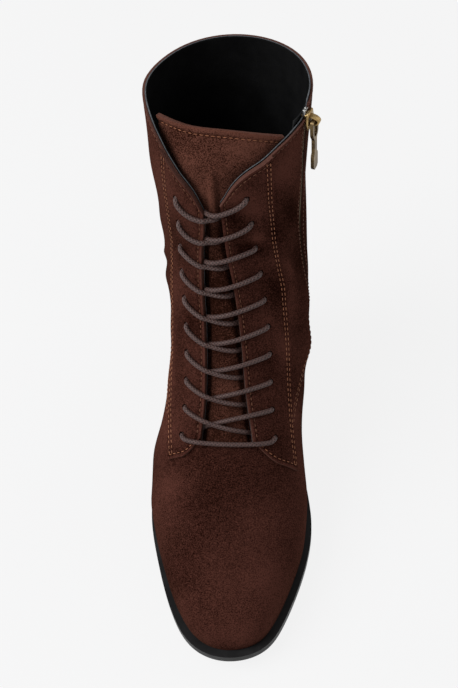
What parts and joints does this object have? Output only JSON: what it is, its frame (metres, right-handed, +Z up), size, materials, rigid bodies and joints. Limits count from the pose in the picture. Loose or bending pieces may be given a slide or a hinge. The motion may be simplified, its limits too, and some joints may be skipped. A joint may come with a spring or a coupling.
{
  "type": "block heel boot",
  "caption": "Lace-up suede ankle boot on a block heel, with a V collar, rounded eyelet facings, round laces and an inner side zip whose pull tab swings.",
  "frame": {"origin": "on the floor, under the middle of the boot's bounding box", "axes": "-Y towards the toe, +X towards the inner (medial) side with the zip, +Z up"},
  "size_m": [0.0984, 0.2526, 0.2281],
  "materials": {
    "sole_rubber": "matte black rubber",
    "lining": "black brushed textile",
    "suede": "dark brown suede nap",
    "cord": "grey-brown waxed round cord",
    "tape": "dark brown woven tape",
    "zip_brass": "antique brass"
  },
  "bodies": {
    "boot": {"outsole": "sole_rubber", "heel": "sole_rubber", "insole": "lining", "upper": "suede", "tongue": "suede", "facing_lateral": "suede", "facing_medial": "suede", "lace_bar": "cord", "lace_cross_1": "cord", "lace_cross_2": "cord", "lace_cross_3": "cord", "lace_cross_4": "cord", "lace_cross_5": "cord", "lace_cross_6": "cord", "lace_cross_7": "cord", "lace_cross_8": "cord", "lace_cross_9": "cord", "zip_tape": "tape", "zip_chain": "zip_brass", "zip_slider": "zip_brass"},
    "pull": {"zip_pull": "zip_brass"}
  },
  "joints": [
    {"name": "pull_swing", "type": "hinge", "parent": "boot", "child": "pull", "pos_m": [0.0457, 0.0656, 0.2156], "axis": [-0.342, -0.9397, 0], "range_deg": [0, 165]}
  ]
}
